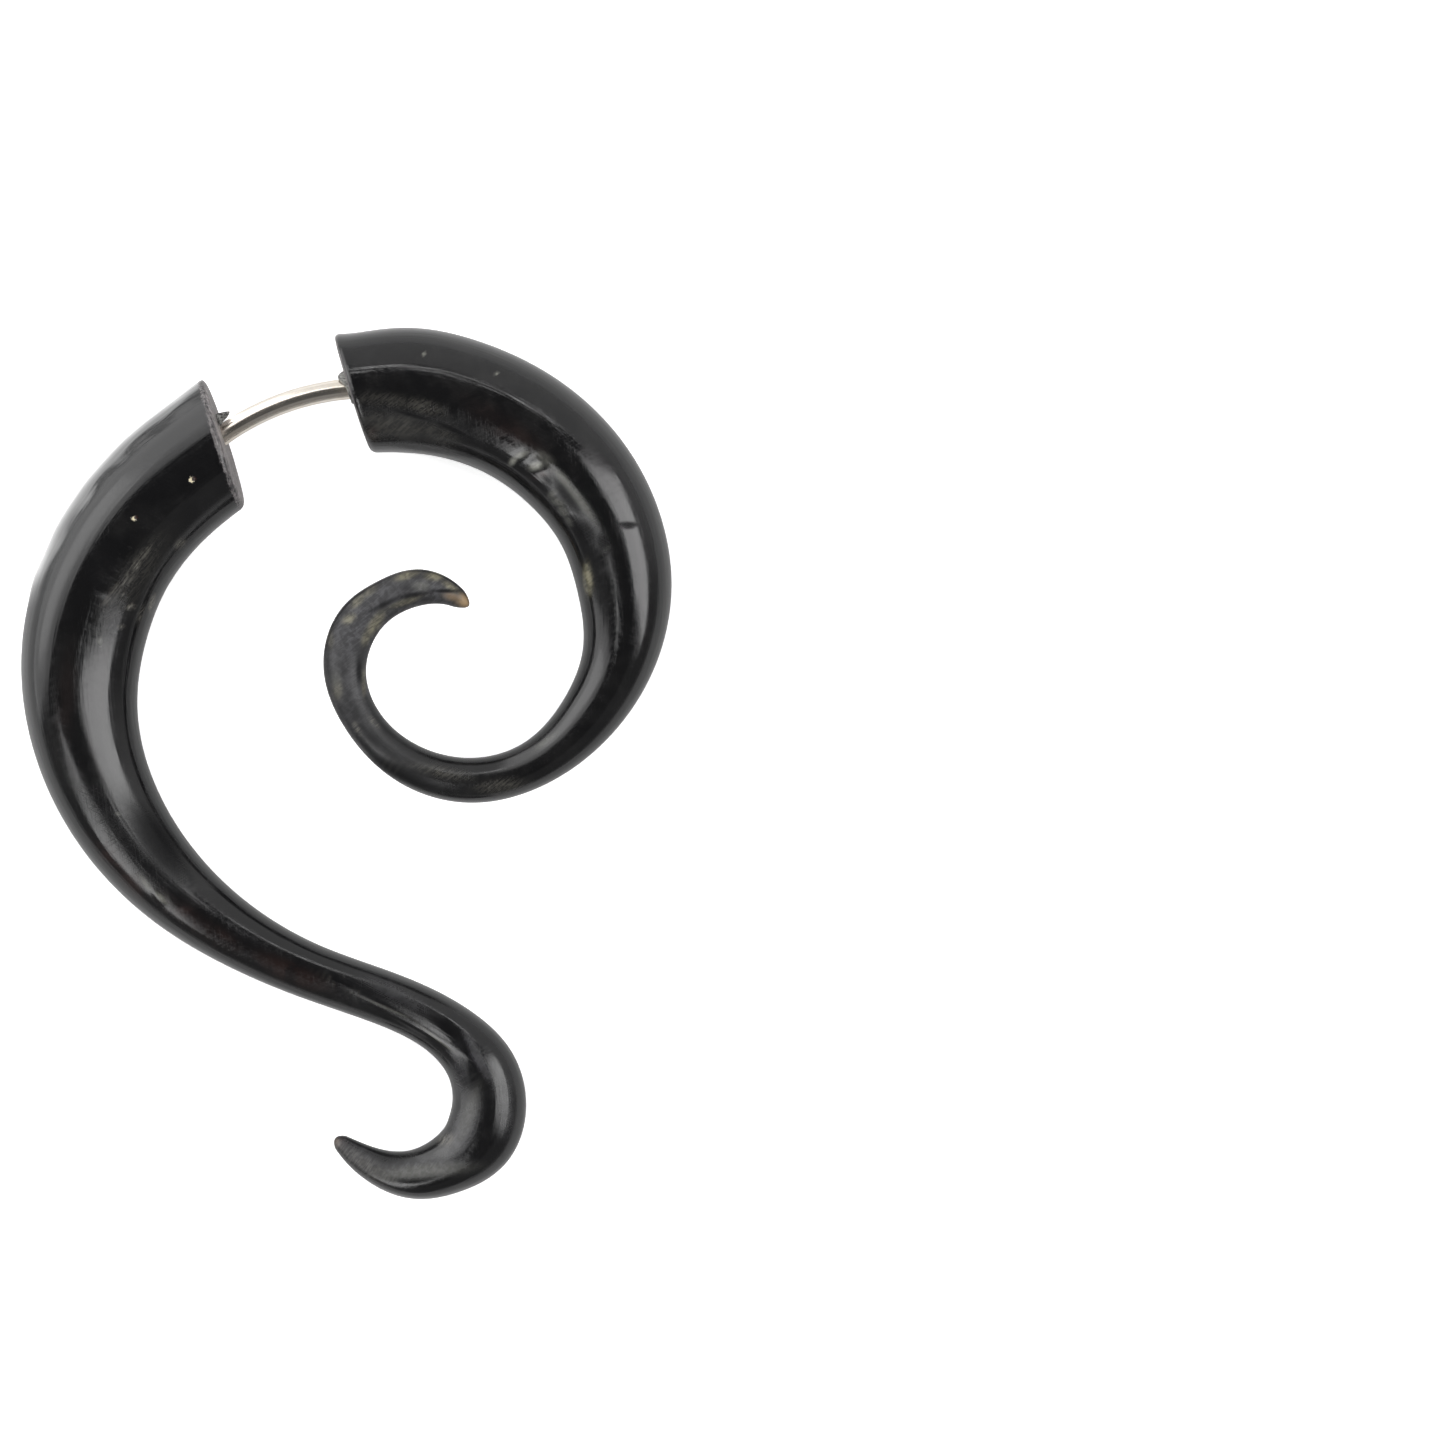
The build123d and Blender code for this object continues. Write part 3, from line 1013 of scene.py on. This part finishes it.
def hornMaterial(name, horn, points, normals):
    # black horn: polished where nothing is painted, and grey, fibrous, pale, brown, olive or
    # amber where the piece's attributes say so. The pale marks are partly wear and partly painted
    # highlights, and the black marks are painted shade. Each colour covers those before it.
    material, tree, shader = newMaterial(name)
    place = addNode("TexCoord", {}, tree).outputs["Object"]
    straight = readAttribute(tree, "straight", "Vector")
    paint = {kind: readAttribute(tree, kind) for kind in horn["paint"]}
    flatPlace = addNode("VectorMath", {0: place, 1: (1, 1, 0.1)}, operation="MULTIPLY").outputs[0]
    pattern = {kind: cloudsAt(place, *size) for kind, size in hornClouds.items()}
    clouds, wide, crumbs = pattern["clouds"], pattern["wide"], pattern["crumbs"]
    hatch = streaksAt(flatPlace, horn["fibreHeading"], *hornStreaks["hatch"])
    flats = streaksAt(straight, 0.0, *hornStreaks["flats"])
    sawing = streaksAt(place, gap["heading"] + 90, *hornStreaks["sawing"])
    length, width = hornStreaks["scuffs"]
    scuffs = useGroup(scuffTree, Vector=flatPlace, Length=length, Width=width)
    pattern["grain"] = mix(hatch, pattern["specks"], 0.65)
    pattern["cover"] = mix(pattern["mottle"], pattern["grain"], 0.55)

    colour = blendColours(times(wide, clouds), hornColours["black"], hornColours["smoke"])
    cover = {}
    for kind, (broken, low, high, least) in hornCover.items():
        if kind in paint:
            cover[kind] = times(paint[kind], remap(pattern[broken], low, high, least, 1.0))
            colour = blendColours(cover[kind], colour, hornColours[kind])
    # painted shade: the dark marks, and the dark band along the outer side where the horn is grey,
    # blacken the colour
    outline = times(readAttribute(tree, "outerShadeLine"), paint["matte"])
    dark = calculate("MAXIMUM", times(paint["dark"], 0.9), times(outline, 0.75))
    colour = blendColours(dark, colour, hornColours["black"])

    rough = remap(clouds, 0.0, 1.0, *hornGloss["polished"])
    rough = addShares(rough, (flats, -0.025), (paint["matte"], 0.40), (paint["dull"], 0.24))
    rough = addShares(rough, (cover["fibre"], 0.20), (scuffs, 0.07), (cover["wearAndHighlights"], 0.20), (dark, 0.20))

    # carving left soft rings across the horn in a few places
    along = addNode("SeparateXYZ", {0: straight}).outputs[0]
    rings = addShares(0.0, (along, ringPitch), (wide, 3.0))
    rings = remap(calculate("SINE", rings), -1.0, 1.0)
    ringed = times(times(paint["ringed"], rings), remap(clouds, 0.2, 0.8))
    colour = blendColours(times(ringed, 0.16), colour, hornColours["fibre"])

    height = addShares(0.0, (scuffs, -0.15), (flats, 1.3), (cover["fibre"], -0.5), (ringed, 0.5))
    height = addShares(height, (times(paint["matte"], pattern["grain"]), 0.6))

    # each pit is cream and sunk, with a painted brown shadow on its right
    for pit in horn["pits"]:
        spot = highestAt(pit, points, normals)
        mask = useGroup(pitTree, Vector=place, Place=tuple(spot), Radius=pit.radius)
        colour = blendColours(mask, colour, hornColours["cream"])
        right = tuple(spot + pit.radius * np.array([0.75, 0.30, 0.0]))
        shade = useGroup(pitTree, Vector=place, Place=right, Radius=pit.radius * 0.8)
        colour = blendColours(shade, colour, hornColours["brown"])
        rough = addShares(rough, (mask, 0.4))
        height = addShares(height, (mask, -6.0))

    # the cut face is sawn: grey with pale crumbs, frayed where it meets the side
    uneven = mix(crumbs, sawing, 0.40)
    sawn = readAttribute(tree, "sawn")
    cut = plus(sawn, plus(times(uneven, 0.5), -0.25))
    cut = remap(cut, 0.35, 1.45)
    pale = times(remap(uneven, 0.0, 1.0, 0.16, 0.74), horn["sawnLight"])
    # painted shade: the crumbs are made less pale on the rounded rim and the frayed side than on the
    # face, to offset the light the upward rim catches
    pale = times(pale, remap(sawn, 0.6, 1.9, 0.55, 1.0))
    sawnColour = blendColours(pale, hornColours["sawn"], hornColours["sawnPale"])
    colour = blendColours(cut, colour, sawnColour)
    rough = calculate("ADD", rough, times(cut, 0.45), clamp=True)
    height = addShares(height, (times(cut, crumbs), 0.6))

    # where the painted shade lies, the reflection is dimmed too
    sheen = remap(dark, 0.0, 1.0, hornGloss["sheen"], hornGloss["darkSheen"])
    sheen = times(sheen, remap(paint["matte"], 0.0, 1.0, 1.0, hornGloss["matteSheen"]))
    gloss = {"Roughness": rough, "Specular IOR Level": sheen, "IOR": hornGloss["refraction"]}
    normal = bumped(height, 1.0, hornGloss["bump"])
    setInputs(shader, {"Base Color": colour, "Normal": normal} | gloss)
    return material


def steelMaterial():
    # drawn wire: fine lines along it, and a thin film of wear that dulls it here and there
    material, tree, shader = newMaterial("drawnSteel")
    straight = readAttribute(tree, "straight", "Vector")
    lines = streaksAt(straight, 0.0, *steelPost["lines"])
    film = cloudsAt(straight, *steelPost["film"])
    colour = blendColours(film, steelPost["bright"], steelPost["dulled"])
    rough = remap(plus(lines, film), 0.0, 2.0, *steelPost["roughness"])
    normal = bumped(lines, 0.4, 0.0000006)
    setInputs(shader, {"Base Color": colour, "Roughness": rough, "Metallic": 1.0, "Normal": normal})
    return material


def glueMaterial():
    # dark dried glue with dust and horn crumbs in it
    material, tree, shader = newMaterial("driedGlue")
    place = addNode("TexCoord", {}, tree).outputs["Object"]
    crumbs = cloudsAt(place, *glue["crumbs"])
    colour = blendColours(crumbs, glue["dark"], glue["dust"])
    rough = remap(crumbs, 0.0, 1.0, *glue["roughness"])
    normal = bumped(crumbs, 0.8, 0.00003)
    setInputs(shader, {"Base Color": colour, "Roughness": rough, "Normal": normal})
    return material


hookPiece.data.materials.append(hornMaterial("hookHornFinish", hookHorn, *hookSurface))
spiralPiece.data.materials.append(hornMaterial("spiralHornFinish", spiralHorn, *spiralSurface))
postPiece.data.materials.append(steelMaterial())
glueFinish = glueMaterial()
beadPiece.data.materials.append(glueFinish)
spikePiece.data.materials.append(glueFinish)
print("finishes made")

# What each piece stands for

for piece, node, body, slot in (
    (hookPiece, "hook", "hook_half", "horn"),
    (spiralPiece, "spiral", "spiral_half", "horn"),
    (postPiece, "post", "spiral_half", "post_steel"),
):
    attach(piece, body)
    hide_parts(node)
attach(beadPiece, "spiral_half")
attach(spikePiece, "hook_half")

# Table, light and camera

# An upright lamp panel: the azimuth of its middle, half its spread in azimuth, the lean from
# straight overhead of its top and of its foot, in degrees, and how bright a mirror shows it.
Lamp = namedtuple("Lamp", "azimuth halfSpread top foot brightness")

studio = {
    "floorSize": 4.0,
    "floorSeen": (0.95, 0.95, 0.95, 1),  # overexposed to the camera, as in the photograph
    "floorGlow": 0.60,
    "floorMirrored": (0.72, 0.72, 0.72, 1),
    "floorGrain": (0.0008, 3.0),  # size and detail of the paper's unevenness
    "card": Mark(-140, 287, 420, 240, 142, 3.0),  # a bright card on the table beside the hook
    "cardFade": 0.75,  # the share of the card's half sizes at which it starts to fade
    "lampDistance": 0.6,
    "lamps": {
        "rightWindow": Lamp(1.5, 26.5, 21, 57, 4.8),
        "leftWall": Lamp(154, 41, 20, 90, 1.6),
        "leftLamp": Lamp(161, 22, 33, 66, 1.5),
        "lowerLeftLamp": Lamp(-129, 12, 21, 55, 4.6),
        "backSlit": Lamp(80, 36, 30, 33, 6.5),
    },
    "roofDark": 0.03,
    "roofEdge": (35.0, 41.0),  # lean in degrees over which the roof gives way to the walls
    "wallDim": 0.15,
    "wallBright": 0.75,
    "wallHeading": 90.0,  # the bright walls are on this side
    "wallTurn": (-0.30, 0.45),  # how much a way points to that side where dim turns to bright
    "skirtEdge": (81.0, 86.0),  # lean at which the walls give way to the table's bright sweep
    "skirt": 0.65,
    "skirtRight": 0.36,  # its strength on the side at azimuth 0
    "skirtTurn": (0.2, 0.9),  # how much a way points to the right where it changes
    "outside": 1.0,
}


def softbox(name, lamp):
    # an upright rectangle that faces the earring; its sides stay at one azimuth
    distance = studio["lampDistance"]
    high, low = (distance / np.tan(np.radians(angle)) for angle in (lamp.top, lamp.foot))
    light = bpy.data.lights.new(name, "AREA")
    light.shape = "RECTANGLE"
    light.size = 2 * distance * np.tan(np.radians(lamp.halfSpread))
    light.size_y = high - low
    light.energy = lamp.brightness * np.pi * light.size * light.size_y
    box = bpy.data.objects.new(name, light)
    away = Vector(direction(lamp.azimuth))
    box.location = away * distance + Vector((0, 0, (high + low) / 2))
    box.rotation_mode = "QUATERNION"
    box.rotation_quaternion = away.to_track_quat("Z", "Y")
    box.visible_camera = False
    bpy.context.collection.objects.link(box)


def below(height, edge):
    # 1 for a way that leans further from overhead than the edge's two angles, 0 for one above
    high, low = (float(np.cos(np.radians(angle))) for angle in edge)
    return remap(height, low, high, 1.0, 0.0)


def roomWorld():
    # a dark roof over the camera, walls that are bright behind and dim in front, the table's
    # bright sweep all round, and plain white where the camera looks past the table
    world = bpy.data.worlds.new("studio")
    world.use_nodes = True
    tree = world.node_tree
    way = addNode("TexCoord", {}, tree).outputs["Generated"]
    right, _, height = addNode("SeparateXYZ", {0: way}).outputs
    bright = tuple(direction(studio["wallHeading"]))
    towards = addNode("VectorMath", {0: way, 1: bright}, operation="DOT_PRODUCT").outputs["Value"]
    wall = remap(towards, *studio["wallTurn"], studio["wallDim"], studio["wallBright"])
    skirt = remap(right, *studio["skirtTurn"], studio["skirt"], studio["skirtRight"])
    skirt = times(skirt, below(height, studio["skirtEdge"]))
    wall = calculate("MAXIMUM", wall, skirt)
    light = plus(times(wall, below(height, studio["roofEdge"])), studio["roofDark"])
    seen = addNode("LightPath", {}, tree).outputs["Is Camera Ray"]
    strength = addNode("Mix", {0: seen, 2: light, 3: studio["outside"]}).outputs[0]
    setInputs(tree.nodes["Background"], {"Color": (1, 1, 1, 1), "Strength": strength})
    return world


def tableMaterial():
    # pale matte paper, which the camera sees a little overexposed
    material, tree, shader = newMaterial("paleTable")
    place = addNode("TexCoord", {}, tree).outputs["Object"]
    grain = cloudsAt(place, *studio["floorGrain"])
    path = addNode("LightPath", {}, tree).outputs
    seen = path["Is Camera Ray"]
    colour = blendColours(seen, studio["floorMirrored"], studio["floorSeen"])

    # the card shows only in mirrorings: it glows inside its oval and fades to the oval's edge
    card, perPixel = studio["card"], 1 / photo["pixelsPerMetre"]
    across = photo["middle"].x + (card.across - photo["width"] / 2) * perPixel
    forwards = photo["middle"].y - (card.down - photo["height"] / 2) * perPixel
    oval = {
        "Vector": place,
        "Location": (across, forwards, 0.0),
        "Rotation": (0.0, 0.0, np.radians(card.heading)),
        "Scale": (card.long * perPixel, card.short * perPixel, 1.0),
    }
    oval = addNode("Mapping", oval, vector_type="TEXTURE").outputs[0]
    reach = addNode("VectorMath", {0: oval}, operation="LENGTH").outputs["Value"]
    shine = remap(reach, studio["cardFade"], 1.0, card.amount, 0.0)
    shine = times(shine, path["Is Glossy Ray"])
    glow = plus(times(seen, studio["floorGlow"]), shine)
    material.cycles.emission_sampling = "NONE"
    gloss = {"Roughness": 0.8, "Specular IOR Level": 0.1, "Normal": bumped(grain, 0.1, 0.00001)}
    light = {"Emission Color": (1, 1, 1, 1), "Emission Strength": glow}
    setInputs(shader, {"Base Color": colour} | gloss | light)
    return material


for name, lamp in studio["lamps"].items():
    softbox(name, lamp)

tableMesh = bpy.data.meshes.new("table")
half = studio["floorSize"] / 2
corners = [(-half, -half, 0), (half, -half, 0), (half, half, 0), (-half, half, 0)]
tableMesh.from_pydata(corners, [], [(0, 1, 2, 3)])
table = bpy.data.objects.new("table", tableMesh)
bpy.context.collection.objects.link(table)
tableMesh.materials.append(tableMaterial())

scene = bpy.context.scene
scene.view_settings.view_transform = "Standard"
scene.view_settings.look = "None"
scene.world = roomWorld()

cameraData = bpy.data.cameras.new("camera")
cameraData.sensor_width = photo["sensor"]
cameraData.lens = photo["sensor"] * photo["distance"] * photo["pixelsPerMetre"] / photo["height"]
camera = bpy.data.objects.new("camera", cameraData)
camera.location = photo["middle"] + Vector((0, 0, photo["distance"]))
bpy.context.collection.objects.link(camera)
scene.camera = camera
print("studio made")
